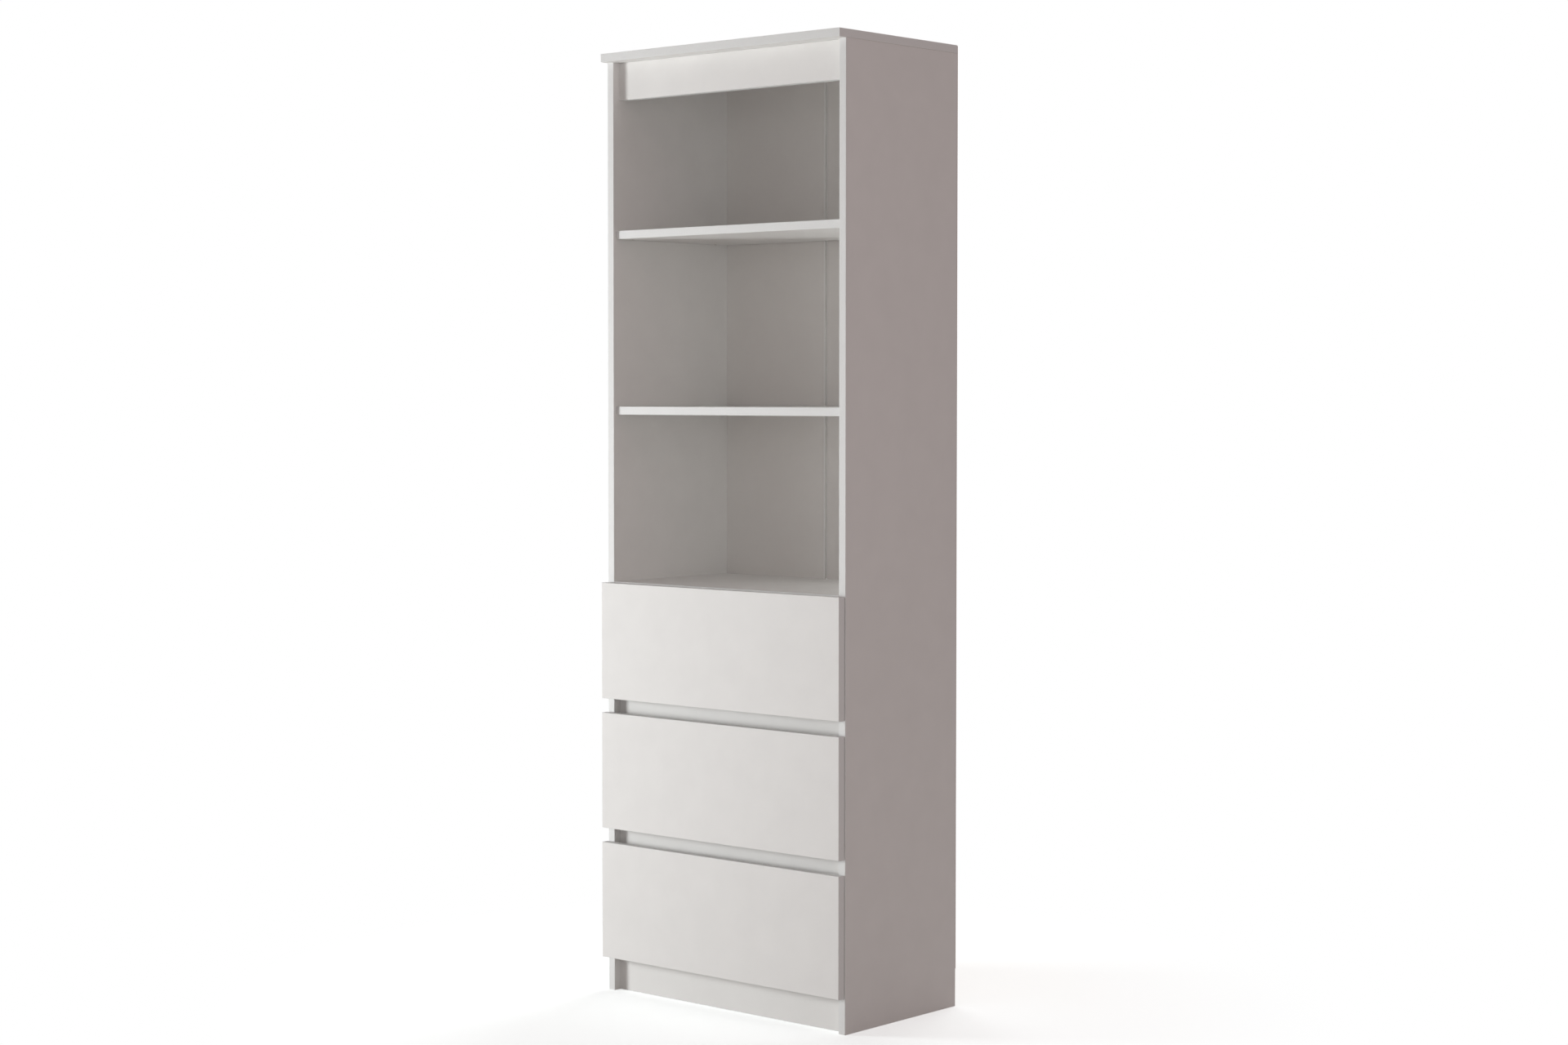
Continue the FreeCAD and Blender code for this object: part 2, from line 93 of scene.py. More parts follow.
# Melamine foil: an even, satin white. The paper is faintly cloudy over some centimetres, and a
# pearl grain breaks up the gloss. The grain is 0.3 mm in life, drawn at 1.6 mm so that it shows.
melamine, tree, place = bare_material("melamine_foil_satin")
cloud = add(tree, "ShaderNodeTexNoise", {"Scale": 1 / (60 * MM), "Detail": 3.0}, {"Vector": place})
spread = add(tree, "ShaderNodeMapRange", {"From Min": 0.3, "From Max": 0.7}, {"Value": cloud.outputs["Fac"]})
tone = add(
    tree, "ShaderNodeMix",
    {"data_type": "RGBA", COLOUR_A: linear("#ECEBE9"), COLOUR_B: linear("#EFEEEC")},
    {"Factor": spread.outputs["Result"]},
)
pearl = add(tree, "ShaderNodeTexNoise", {"Scale": 1 / (1.6 * MM), "Detail": 2.0}, {"Vector": place})
relief = add(
    tree, "ShaderNodeBump", {"Strength": 0.25, "Distance": 0.02 * MM}, {"Height": pearl.outputs["Fac"]}
)
gloss = add(
    tree, "ShaderNodeMapRange", {"To Min": 0.56, "To Max": 0.66}, {"Value": pearl.outputs["Fac"]}
)
surface = add(
    tree, "ShaderNodeBsdfPrincipled", {"IOR": 1.5},
    {
        "Base Color": tone.outputs[COLOUR_OUT], "Roughness": gloss.outputs["Result"],
        "Normal": relief.outputs["Normal"],
    },
)
add(tree, "ShaderNodeOutputMaterial", {}, {"Surface": surface.outputs["BSDF"]})

# ABS edge band: a shade cooler than the foil, without its cloud and a little smoother, with the
# faint ripple that the trimming cutter leaves about every 3 mm along the edge.
edge_band, tree, place = bare_material("abs_edge_band")
ripple = add(
    tree, "ShaderNodeTexNoise", {"Scale": 1 / (3 * MM), "Detail": 1.0, "Roughness": 0.3},
    {"Vector": place},
)
tone = add(
    tree, "ShaderNodeMix",
    {"data_type": "RGBA", COLOUR_A: linear("#E9EAE9"), COLOUR_B: linear("#EDEEED")},
    {"Factor": ripple.outputs["Fac"]},
)
relief = add(
    tree, "ShaderNodeBump", {"Strength": 0.2, "Distance": 0.02 * MM}, {"Height": ripple.outputs["Fac"]}
)
surface = add(
    tree, "ShaderNodeBsdfPrincipled", {"IOR": 1.5, "Roughness": 0.58},
    {"Base Color": tone.outputs[COLOUR_OUT], "Normal": relief.outputs["Normal"]},
)
add(tree, "ShaderNodeOutputMaterial", {}, {"Surface": surface.outputs["BSDF"]})

# Sawn chipboard: flakes of softwood 1 to 3 mm across, straw to brown, with dark pores between
# them that the saw has opened.
chipboard, tree, place = bare_material("sawn_chipboard")
flakes = add(tree, "ShaderNodeTexVoronoi", {"Scale": 1 / (1.9 * MM)}, {"Vector": place})
kind = add(tree, "ShaderNodeSeparateColor", {}, {"Color": flakes.outputs["Color"]})
tone = add(tree, "ShaderNodeValToRGB", {}, {"Fac": kind.outputs["Red"]})
tone.color_ramp.elements[0].color = linear("#7E603F")
tone.color_ramp.elements[1].color = linear("#D9C39B")
tone.color_ramp.elements.new(0.3).color = linear("#A98A60")
tone.color_ramp.elements.new(0.65).color = linear("#C6AC80")
pores = add(
    tree, "ShaderNodeMapRange", {"From Min": 0.45, "From Max": 0.8, "To Min": 1.0, "To Max": 0.45},
    {"Value": flakes.outputs["Distance"]},
)
sawn = add(
    tree, "ShaderNodeMix", {"data_type": "RGBA", "blend_type": "MULTIPLY", "Factor": 1.0},
    {COLOUR_A: tone.outputs["Color"], COLOUR_B: pores.outputs["Result"]},
)
relief = add(
    tree, "ShaderNodeBump", {"Strength": 0.6, "Distance": 0.3 * MM}, {"Height": pores.outputs["Result"]}
)
surface = add(
    tree, "ShaderNodeBsdfPrincipled", {"Roughness": 0.85},
    {"Base Color": sawn.outputs[COLOUR_OUT], "Normal": relief.outputs["Normal"]},
)
add(tree, "ShaderNodeOutputMaterial", {}, {"Surface": surface.outputs["BSDF"]})


def merged(node):
    """A CAD node as clean faces: loose triangles are joined, and those in one plane made one."""
    form = bmesh.new()
    form.from_mesh(frame["nodes"][node].data)
    bmesh.ops.remove_doubles(form, verts=form.verts, dist=0.001 * MM)
    bmesh.ops.dissolve_limit(
        form, angle_limit=math.radians(0.5), verts=form.verts, edges=form.edges
    )
    return form


def placed(name, form, *materials):
    """Turns a form into an object in the scene."""
    mesh = bpy.data.meshes.new(name)
    form.to_mesh(mesh)
    form.free()
    for material in materials:
        mesh.materials.append(material)
    piece = bpy.data.objects.new(name, mesh)
    bpy.context.scene.collection.objects.link(piece)
    return piece


def stands_for(piece, *nodes):
    """Shows a piece in place of CAD nodes of one body. It moves with that body."""
    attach(piece, body_of[nodes[0]])
    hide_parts(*nodes)


def board(node, coats, core=chipboard, arris=0.2 * MM):
    """Dresses a CAD board or sheet: a coat for each side of its box, and the core elsewhere.

    coats names the sides, such as "-y". Bands come first, because an eased edge takes the first
    coat that it touches. Bores, grooves and sides with no coat show the core.
    """
    low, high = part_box(node)
    form = merged(node)
    planes = [(sign + axis, i, bound[i]) for sign, bound in (("-", low), ("+", high))
              for i, axis in enumerate("xyz")]
    near_edge = 0.7 * MM

    def sides_at(point):
        return [side for side, i, bound in planes if abs(point[i] - bound) < near_edge]

    materials = list(dict.fromkeys((core, *coats.values())))
    for face in form.faces:
        found = sides_at(face.calc_center_median())
        facing = [side for side, i, bound in planes if abs(face.normal[i]) > 0.99 and side in found]
        if facing:
            coat = coats.get(facing[0], core)
        elif len(found) > 1:
            coat = next((coats[side] for side in coats if side in found), core)
        else:
            coat = core
        face.material_index = materials.index(coat)

    corners = [edge for edge in form.edges
               if len(sides_at((edge.verts[0].co + edge.verts[1].co) / 2)) > 1]
    bmesh.ops.bevel(
        form, geom=corners, offset=arris, segments=2, profile=0.5, affect="EDGES",
        clamp_overlap=True, material=-1,
    )
    stands_for(placed(f"{node}_dressed", form, *materials), node)


for node in ("side_panel_left", "side_panel_right"):
    board(node, {"-y": edge_band, "-x": melamine, "+x": melamine})

# ---------------------------------------------------------------- bottom and deck
# The fixed boards that close the drawer case below and above. Cams in their undersides pull
# them to the side panels, and only their front edges are banded.

for node in ("bottom_panel", "deck_panel"):
    board(node, {"-y": edge_band, "-z": melamine, "+z": melamine})

# ---------------------------------------------------------------- fascia, rails and plinth
# Boards on edge, set back behind the front edges of the sides and held by dowels. Both long
# edges are banded, since the rails show theirs in the finger gaps and the fascia shows its own.

for node in ("top_fascia", "drawer_rail_upper", "drawer_rail_lower", "plinth_front"):
    board(node, {"-z": edge_band, "+z": edge_band, "-y": melamine, "+y": melamine})

# ---------------------------------------------------------------- top panel
# Lies on the sides and reaches over them at the front. Its three seen edges are banded, and the
# rear one is bare.

board(
    "top_panel",
    {"-y": edge_band, "-x": edge_band, "+x": edge_band, "-z": melamine, "+z": melamine},
)

# ---------------------------------------------------------------- loose shelves
# Two shelves that can be lifted off their pins, banded at the front and papered on the other
# three edges with the same white.

for node in ("shelf_lower", "shelf_upper"):
    board(node, {
        "-y": edge_band, "-x": edge_band, "+x": edge_band, "+y": edge_band,
        "-z": melamine, "+z": melamine,
    })

# ---------------------------------------------------------------- cams, bolts and dowels
# Knock-down fittings. Die-cast zinc cams with a cross recess show flush in the boards; the
# bolts, of zinc-plated steel, and the beech dowels are out of sight in their bores.

# Die-cast zinc: dull grey with a fine sandy skin of about 0.4 mm.
zinc_cast, tree, place = bare_material("zinc_die_cast")
skin = add(tree, "ShaderNodeTexNoise", {"Scale": 1 / (0.4 * MM), "Detail": 3.0}, {"Vector": place})
tone = add(
    tree, "ShaderNodeMix",
    {"data_type": "RGBA", COLOUR_A: linear("#A3A4A6"), COLOUR_B: linear("#BDBEC0")},
    {"Factor": skin.outputs["Fac"]},
)
relief = add(
    tree, "ShaderNodeBump", {"Strength": 0.3, "Distance": 0.05 * MM}, {"Height": skin.outputs["Fac"]}
)
surface = add(
    tree, "ShaderNodeBsdfPrincipled", {"Metallic": 1.0, "Roughness": 0.48},
    {"Base Color": tone.outputs[COLOUR_OUT], "Normal": relief.outputs["Normal"]},
)
add(tree, "ShaderNodeOutputMaterial", {}, {"Surface": surface.outputs["BSDF"]})

# Bright zinc plate: cool and mirror-like, with cloudy patches of some millimetres where parts
# lay together in the plating drum.
zinc_plate, tree, place = bare_material("zinc_plated_steel")
patches = add(tree, "ShaderNodeTexNoise", {"Scale": 1 / (5 * MM), "Detail": 4.0}, {"Vector": place})
tone = add(
    tree, "ShaderNodeMix",
    {"data_type": "RGBA", COLOUR_A: linear("#B9BDC2"), COLOUR_B: linear("#D5D6D4")},
    {"Factor": patches.outputs["Fac"]},
)
gloss = add(
    tree, "ShaderNodeMapRange", {"To Min": 0.22, "To Max": 0.42}, {"Value": patches.outputs["Fac"]}
)
surface = add(
    tree, "ShaderNodeBsdfPrincipled", {"Metallic": 1.0},
    {"Base Color": tone.outputs[COLOUR_OUT], "Roughness": gloss.outputs["Result"]},
)
add(tree, "ShaderNodeOutputMaterial", {}, {"Surface": surface.outputs["BSDF"]})

# Beech: pinkish tan, with short brown flecks of 1 to 2 mm.
beech, tree, place = bare_material("beech_dowel")
flecks = add(tree, "ShaderNodeTexVoronoi", {"Scale": 1 / (1.2 * MM)}, {"Vector": place})
tone = add(
    tree, "ShaderNodeMix",
    {"data_type": "RGBA", COLOUR_A: linear("#A97B50"), COLOUR_B: linear("#CDA679")},
    {"Factor": flecks.outputs["Distance"]},
)
surface = add(
    tree, "ShaderNodeBsdfPrincipled", {"Roughness": 0.7}, {"Base Color": tone.outputs[COLOUR_OUT]}
)
add(tree, "ShaderNodeOutputMaterial", {}, {"Surface": surface.outputs["BSDF"]})

for node, finish in (("cam_bolts", zinc_plate), ("dowels", beech)):
    frame["nodes"][node].material_slots[0].material = finish


def turned(profile, closed=False, sides=32):
    """A shape turned round Z from points of radius and height in millimetres.

    An open profile runs from the axis to the axis; a closed one goes round a ring's section.
    """
    form = bmesh.new()
    rings = []
    for radius, height in profile:
        if radius == 0:
            rings.append([form.verts.new((0, 0, height * MM))] * sides)
            continue
        ring = []
        for i in range(sides):
            angle = 2 * math.pi * i / sides
            point = Vector((radius * math.cos(angle), radius * math.sin(angle), height))
            ring.append(form.verts.new(point * MM))
        rings.append(ring)
    if closed:
        rings.append(rings[0])
    for ring, following in zip(rings, rings[1:]):
        for i in range(sides):
            j = (i + 1) % sides
            form.faces.new(dict.fromkeys((ring[i], ring[j], following[j], following[i])))
    bmesh.ops.recalc_face_normals(form, faces=form.faces)
    return form


def creased(form, angle=35):
    """Shades a form smooth, with creases where its faces turn by more than the angle."""
    for face in form.faces:
        face.smooth = True
    for edge in form.edges:
        edge.smooth = edge.calc_face_angle(math.pi) < math.radians(angle)
    return form


def driver_cross(arm, width, top, depth):
    """The tip of a cross-head driver, in millimetres, that reaches down from the given height."""
    form = bmesh.new()
    rims = []
    for height, taper in ((top + 0.2, 1.0), (top - depth, 0.5)):
        rim = []
        for quarter in range(4):
            turn = Matrix.Rotation(quarter * math.pi / 2, 3, "Z")
            for x, y in ((width, arm), (-width, arm), (-width, width)):
                rim.append(form.verts.new(turn @ Vector((x * taper, y * taper, height)) * MM))
        rims.append(rim)
        form.faces.new(rim)
    for i in range(len(rims[0])):
        j = (i + 1) % len(rims[0])
        form.faces.new((rims[0][i], rims[0][j], rims[1][j], rims[1][i]))
    bmesh.ops.recalc_face_normals(form, faces=form.faces)
    return form


def sunk(form, tip):
    """Takes the tip of a driver out of a form."""
    head, tool = placed("head", form), placed("tool", tip)
    difference = head.modifiers.new("recess", "BOOLEAN")
    difference.object, difference.solver = tool, "EXACT"
    result = bmesh.new()
    result.from_object(head, bpy.context.evaluated_depsgraph_get())
    for spare in (head, tool):
        bpy.data.objects.remove(spare)
    return result


# The layout of repeated fittings: rows and cross rows of one form, each turned at random round
# its own axis, and the same again on the other side of the bookcase.
layout = bpy.data.node_groups.new("fittings_in_rows", "GeometryNodeTree")
for name, kind in (
    ("Form", "NodeSocketObject"), ("Start", "NodeSocketVector"), ("Step", "NodeSocketVector"),
    ("Count", "NodeSocketInt"), ("Cross step", "NodeSocketVector"), ("Cross count", "NodeSocketInt"),
    ("Facing", "NodeSocketVector"), ("Spin", "NodeSocketFloat"), ("Seed", "NodeSocketInt"),
    ("Material", "NodeSocketMaterial"),
):
    layout.interface.new_socket(name, in_out="INPUT", socket_type=kind)
layout.interface.new_socket("Fittings", in_out="OUTPUT", socket_type="NodeSocketGeometry")
given = add(layout, "NodeGroupInput").outputs
row = add(
    layout, "GeometryNodeMeshLine", {},
    {"Count": given["Count"], "Start Location": given["Start"], "Offset": given["Step"]},
)
cross_row = add(
    layout, "GeometryNodeMeshLine", {},
    {"Count": given["Cross count"], "Offset": given["Cross step"]},
)
crossed = add(
    layout, "GeometryNodeInstanceOnPoints", {},
    {"Points": row.outputs["Mesh"], "Instance": cross_row.outputs["Mesh"]},
)
points = add(layout, "GeometryNodeRealizeInstances", {}, {"Geometry": crossed.outputs["Instances"]})
form = add(layout, "GeometryNodeObjectInfo", {}, {"Object": given["Form"]})
fittings = add(
    layout, "GeometryNodeInstanceOnPoints", {},
    {
        "Points": points.outputs["Geometry"], "Instance": form.outputs["Geometry"],
        "Rotation": given["Facing"],
    },
)
chance = add(
    layout, "FunctionNodeRandomValue", {"data_type": "FLOAT"},
    {CHANCE_MOST: given["Spin"], "Seed": given["Seed"]},
)
spin = add(layout, "ShaderNodeCombineXYZ", {}, {"Z": chance.outputs[CHANCE_OUT]})
spun = add(
    layout, "GeometryNodeRotateInstances", {"Local Space": True},
    {"Instances": fittings.outputs["Instances"], "Rotation": spin.outputs["Vector"]},
)
one_side = add(layout, "GeometryNodeRealizeInstances", {}, {"Geometry": spun.outputs["Instances"]})
across = add(
    layout, "GeometryNodeTransform", {"Scale": (-1, 1, 1)}, {"Geometry": one_side.outputs["Geometry"]}
)
other_side = add(layout, "GeometryNodeFlipFaces", {}, {"Mesh": across.outputs["Geometry"]})
both = add(layout, "GeometryNodeJoinGeometry", {}, {"Geometry": one_side.outputs["Geometry"]})
layout.links.new(other_side.outputs["Mesh"], both.inputs["Geometry"])
coated = add(
    layout, "GeometryNodeSetMaterial", {},
    {"Geometry": both.outputs["Geometry"], "Material": given["Material"]},
)
add(layout, "NodeGroupOutput", {}, {"Fittings": coated.outputs["Geometry"]})

FACING = {  # turns a form's Z to the side that it faces
    "-x": (0, -math.pi / 2, 0), "+y": (-math.pi / 2, 0, 0), "-z": (math.pi, 0, 0), "+x": (0, math.pi / 2, 0),
}


def run_nodes(name, tree, values):
    """Runs a Geometry Nodes tree with named inputs, and keeps the result as a plain mesh."""
    piece = placed(name, bmesh.new())
    modifier = piece.modifiers.new("nodes", "NODES")
    modifier.node_group = tree
    for socket in tree.interface.items_tree:
        if socket.in_out == "INPUT":
            modifier[socket.identifier] = values[socket.name]
    graph = bpy.context.evaluated_depsgraph_get()
    mesh = bpy.data.meshes.new_from_object(piece.evaluated_get(graph))
    piece.modifiers.remove(modifier)
    piece.data = mesh
    return piece


def set_out(name, form, material, start, facing, step=(0, 0, 0), count=1,
            cross_step=(0, 0, 0), cross_count=1, spin=0.0):
    """Sets a form out in rows on both sides, from a start and with steps in metres."""
    pattern = placed(f"{name}_form", form.copy())
    piece = run_nodes(name, layout, {
        "Form": pattern, "Start": start, "Step": step, "Count": count,
        "Cross step": cross_step, "Cross count": cross_count, "Facing": FACING[facing],
        "Spin": spin, "Seed": len(name), "Material": material,
    })
    bpy.data.objects.remove(pattern)
    return piece


CAM_REACH = 24 * MM   # centre of a cam from the joint that it pulls shut
CAM_INSET = 50 * MM   # cams from the front and rear edges of a level board
QUARTER = math.pi / 2

# The cam's rim hides the bore, and its barrel goes down into the board.
cam = creased(sunk(
    turned([(0, 0.35), (6.6, 0.35), (7.9, 0.3), (8.1, 0.1), (8.1, -0.05), (6.8, -0.05),
            (6.8, -11.5), (0, -11.5)]),
    driver_cross(arm=3.4, width=0.75, top=0.35, depth=2.6),
))
side_low, side_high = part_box("side_panel_right")
inner_face = side_low.x

for node in ("deck_panel", "bottom_panel"):
    low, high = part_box(node)
    piece = set_out(
        f"cams_{node}", cam, zinc_cast, (inner_face - CAM_REACH, low.y + CAM_INSET, low.z), "-z",
        step=(0, high.y - low.y - 2 * CAM_INSET, 0), count=2, spin=QUARTER,
    )
    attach(piece, "carcass")

top_cams = set_out(
    "cams_side_panels", cam, zinc_cast,
    (inner_face, side_low.y + CAM_INSET, side_high.z - CAM_REACH), "-x",
    step=(0, side_high.y - side_low.y - 2 * CAM_INSET, 0), count=2, spin=QUARTER,
)
stands_for(top_cams, "cam_locks")

# Cover caps: domed discs of white polyethylene, 18 mm across, pressed over the cams that show
# in the top bay.
cap_white, tree, place = bare_material("moulded_cap_white")
flow = add(tree, "ShaderNodeTexNoise", {"Scale": 1 / (6 * MM)}, {"Vector": place})
tone = add(
    tree, "ShaderNodeMix",
    {"data_type": "RGBA", COLOUR_A: linear("#E6E5E2"), COLOUR_B: linear("#EEEDEA")},
    {"Factor": flow.outputs["Fac"]},
)
surface = add(
    tree, "ShaderNodeBsdfPrincipled", {"IOR": 1.5, "Roughness": 0.34},
    {"Base Color": tone.outputs[COLOUR_OUT]},
)
add(tree, "ShaderNodeOutputMaterial", {}, {"Surface": surface.outputs["BSDF"]})

CAP_SEAT = 0.36 * MM  # the cap lies this far off the side panel, on the rim of the cam
cap = creased(turned([(0, 1.5), (3.5, 1.42), (6.5, 1.15), (8.4, 0.75), (9, 0.3), (9, 0), (0, 0)]))
caps = set_out(
    "cover_caps", cap, cap_white,
    (inner_face - CAP_SEAT, side_low.y + CAM_INSET, side_high.z - CAM_REACH), "-x",
    step=(0, side_high.y - side_low.y - 2 * CAM_INSET, 0), count=2,
)
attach(caps, "carcass")

# ---------------------------------------------------------------- back sheets
# Two sheets of 3 mm hardboard that stiffen the carcass from behind. The front is lacquered
# white at the mill, and the rear and the edges are bare.

# White lacquer on hardboard: smooth from the roller, with a low orange peel of about 4 mm.
lacquer, tree, place = bare_material("hardboard_white_lacquer")
peel = add(tree, "ShaderNodeTexNoise", {"Scale": 1 / (4 * MM), "Detail": 2.0}, {"Vector": place})
cloud = add(tree, "ShaderNodeTexNoise", {"Scale": 1 / (70 * MM), "Detail": 3.0}, {"Vector": place})
tone = add(
    tree, "ShaderNodeMix",
    {"data_type": "RGBA", COLOUR_A: linear("#E7E4E1"), COLOUR_B: linear("#ECEAE7")},
    {"Factor": cloud.outputs["Fac"]},
)
relief = add(
    tree, "ShaderNodeBump", {"Strength": 0.2, "Distance": 0.05 * MM}, {"Height": peel.outputs["Fac"]}
)
surface = add(
    tree, "ShaderNodeBsdfPrincipled", {"IOR": 1.5, "Roughness": 0.4},
    {"Base Color": tone.outputs[COLOUR_OUT], "Normal": relief.outputs["Normal"]},
)
add(tree, "ShaderNodeOutputMaterial", {}, {"Surface": surface.outputs["BSDF"]})

# Bare hardboard: brown pressed wood fibre. Fibres of some tenths of a millimetre, drawn at
# 0.9 mm so that they show, lie over broad patches where the mat was denser.
hardboard, tree, place = bare_material("hardboard_bare")
fibre = add(
    tree, "ShaderNodeTexNoise", {"Scale": 1 / (0.9 * MM), "Detail": 3.0, "Roughness": 0.7},
    {"Vector": place},
)
patch = add(tree, "ShaderNodeTexNoise", {"Scale": 1 / (55 * MM), "Detail": 4.0}, {"Vector": place})
mixed = add(
    tree, "ShaderNodeMix", {"data_type": "FLOAT", "Factor": 0.24},
    {VALUE_A: fibre.outputs["Fac"], VALUE_B: patch.outputs["Fac"]},
)
tone = add(tree, "ShaderNodeValToRGB", {}, {"Fac": mixed.outputs["Result"]})
tone.color_ramp.elements[0].position, tone.color_ramp.elements[0].color = 0.3, linear("#6F4E33")
tone.color_ramp.elements[1].position, tone.color_ramp.elements[1].color = 0.7, linear("#A67F59")
relief = add(
    tree, "ShaderNodeBump", {"Strength": 0.3, "Distance": 0.08 * MM}, {"Height": fibre.outputs["Fac"]}
)
surface = add(
    tree, "ShaderNodeBsdfPrincipled", {"Roughness": 0.66},
    {"Base Color": tone.outputs["Color"], "Normal": relief.outputs["Normal"]},
)
add(tree, "ShaderNodeOutputMaterial", {}, {"Surface": surface.outputs["BSDF"]})

for node in ("back_panel_left", "back_panel_right"):
    board(node, {"-y": lacquer}, core=hardboard, arris=0.1 * MM)

# ---------------------------------------------------------------- joint strip
# An extrusion of white PVC that grips the edge of the left back sheet and reaches behind the
# right one, over an open slot. It is cut to fit above and below the deck.

# Extruded PVC: a soft sheen, with fine die lines that run the whole length.
pvc, tree, place = bare_material("pvc_extrusion_white")
stretched = add(
    tree, "ShaderNodeMapping", {"Scale": (1 / (0.8 * MM), 1 / (0.8 * MM), 1 / (400 * MM))},
    {"Vector": place},
)
lines = add(
    tree, "ShaderNodeTexNoise", {"Scale": 1.0, "Detail": 1.0}, {"Vector": stretched.outputs["Vector"]}
)
tone = add(
    tree, "ShaderNodeMix",
    {"data_type": "RGBA", COLOUR_A: linear("#EFEFED"), COLOUR_B: linear("#F4F4F2")},
    {"Factor": lines.outputs["Fac"]},
)
relief = add(
    tree, "ShaderNodeBump", {"Strength": 0.3, "Distance": 0.03 * MM}, {"Height": lines.outputs["Fac"]}
)
surface = add(
    tree, "ShaderNodeBsdfPrincipled", {"IOR": 1.54, "Roughness": 0.38},
    {"Base Color": tone.outputs[COLOUR_OUT], "Normal": relief.outputs["Normal"]},
)
add(tree, "ShaderNodeOutputMaterial", {}, {"Surface": surface.outputs["BSDF"]})

strip = merged("back_joint_strip")
bmesh.ops.bevel(
    strip, geom=strip.edges[:], offset=0.15 * MM, segments=2, profile=0.5, affect="EDGES",
    clamp_overlap=True,
)
strip = placed("joint_strip", strip, pvc)
stands_for(strip, "back_joint_strip")

# ---------------------------------------------------------------- nails in the back
# Flat-headed steel nails hold the sheets to the sides and to the rear edges of the top, the
# deck and the bottom, about every 10 cm.

# Bright drawn steel, rubbed and slightly uneven over a millimetre or so.
bright_steel, tree, place = bare_material("bright_steel")
rub = add(tree, "ShaderNodeTexNoise", {"Scale": 1 / (1.2 * MM), "Detail": 2.0}, {"Vector": place})
gloss = add(tree, "ShaderNodeMapRange", {"To Min": 0.25, "To Max": 0.5}, {"Value": rub.outputs["Fac"]})
surface = add(
    tree, "ShaderNodeBsdfPrincipled", {"Metallic": 1.0, "Base Color": linear("#B4B4B2")},
    {"Roughness": gloss.outputs["Result"]},
)
add(tree, "ShaderNodeOutputMaterial", {}, {"Surface": surface.outputs["BSDF"]})

nail = creased(turned(
    [(0, 0.4), (1.9, 0.4), (2.25, 0.25), (2.25, -0.05), (0.7, -0.05), (0.7, -2.5), (0, -2.5)],
    sides=20,
))
rear_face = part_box("back_panel_right")[1].y
NAIL_STEP = 96 * MM

for node in ("top_panel", "deck_panel", "bottom_panel"):
    low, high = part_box(node)
    piece = set_out(
        f"nails_{node}", nail, bright_steel, (NAIL_STEP / 2, rear_face, (low.z + high.z) / 2), "+y",
        step=(NAIL_STEP, 0, 0), count=3,
    )
    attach(piece, "carcass")

SIDE_NAILS = 16
FIRST_NAIL, LAST_NAIL = 30 * MM, 40 * MM  # over the bottom panel, and from the top of the side
lowest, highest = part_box("bottom_panel")[1].z + FIRST_NAIL, side_high.z - LAST_NAIL
side_nails = set_out(
    "nails_side_panels", nail, bright_steel,
    ((side_low.x + side_high.x) / 2, rear_face, lowest), "+y",
    step=(0, 0, (highest - lowest) / (SIDE_NAILS - 1)), count=SIDE_NAILS,
)
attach(side_nails, "carcass")

# ---------------------------------------------------------------- wall brackets
# Two pressed steel angles, screwed up into the top panel, with a hole through the back sheet
# for the screw that ties the bookcase to a wall.


def smooth_copy(node, name, material, arris=0.0):
    """Shows a CAD node as a merged copy that is shaded smooth round its bends and shafts."""
    form = merged(node)
    if arris:
        edges = [edge for edge in form.edges if edge.calc_face_angle(0) > math.radians(60)]
        bmesh.ops.bevel(
            form, geom=edges, offset=arris, segments=2, profile=0.5, affect="EDGES",
            clamp_overlap=True,
        )
    piece = placed(name, creased(form), material)
    weights = piece.modifiers.new("flat_faces_first", "WEIGHTED_NORMAL")
    weights.weight, weights.keep_sharp = 100, True
    stands_for(piece, node)


smooth_copy("wall_brackets", "wall_angles", zinc_plate, arris=0.25 * MM)

PAN_HEAD = [(0, 1.1), (1.6, 1.06), (2.8, 0.85), (3.4, 0.5), (3.6, 0.1), (3.6, 0), (1.9, 0),
            (1.9, -4), (0, -4)]
screw = creased(sunk(turned(PAN_HEAD), driver_cross(arm=1.9, width=0.4, top=1.1, depth=0.9)))
bracket_low, bracket_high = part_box("wall_brackets")
ANGLE_WIDTH, ANGLE_STEEL = 20 * MM, 2 * MM
arm_middle = (bracket_low.y + bracket_high.y) / 2
angle_screws = set_out(
    "screws_wall_angles", screw, zinc_plate,
    (bracket_high.x - ANGLE_WIDTH / 2, arm_middle, bracket_high.z - ANGLE_STEEL), "-z", spin=QUARTER,
)
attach(angle_screws, "carcass")

# ---------------------------------------------------------------- shelf pins
# Plated steel pins, 5 mm thick, pushed into the sides. Each loose shelf lies on four of them,
# and the notches in its underside hide them.

PIN_INSET = 40 * MM
pin = creased(turned([(0, 0), (1.9, 0), (2.45, 0.6), (2.45, 15.4), (1.9, 16), (0, 16)], sides=24))
pins_low, pins_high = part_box("shelf_pins")
first_low, first_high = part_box("shelf_lower")
shelf_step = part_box("shelf_upper")[0].z - first_low.z
pins = set_out(
    "pins", pin, zinc_plate,
    (pins_high.x, first_low.y + PIN_INSET, (pins_low.z + pins_high.z - shelf_step) / 2), "-x",
    step=(0, first_high.y - first_low.y - 2 * PIN_INSET, 0), count=2,
    cross_step=(0, 0, shelf_step), cross_count=2,
)
stands_for(pins, "shelf_pins")

# ---------------------------------------------------------------- roller runners
# Folded steel under a white epoxy coat: channels screwed to the sides, and members under the
# drawer sides. Each carries a nylon roller on a riveted axle.

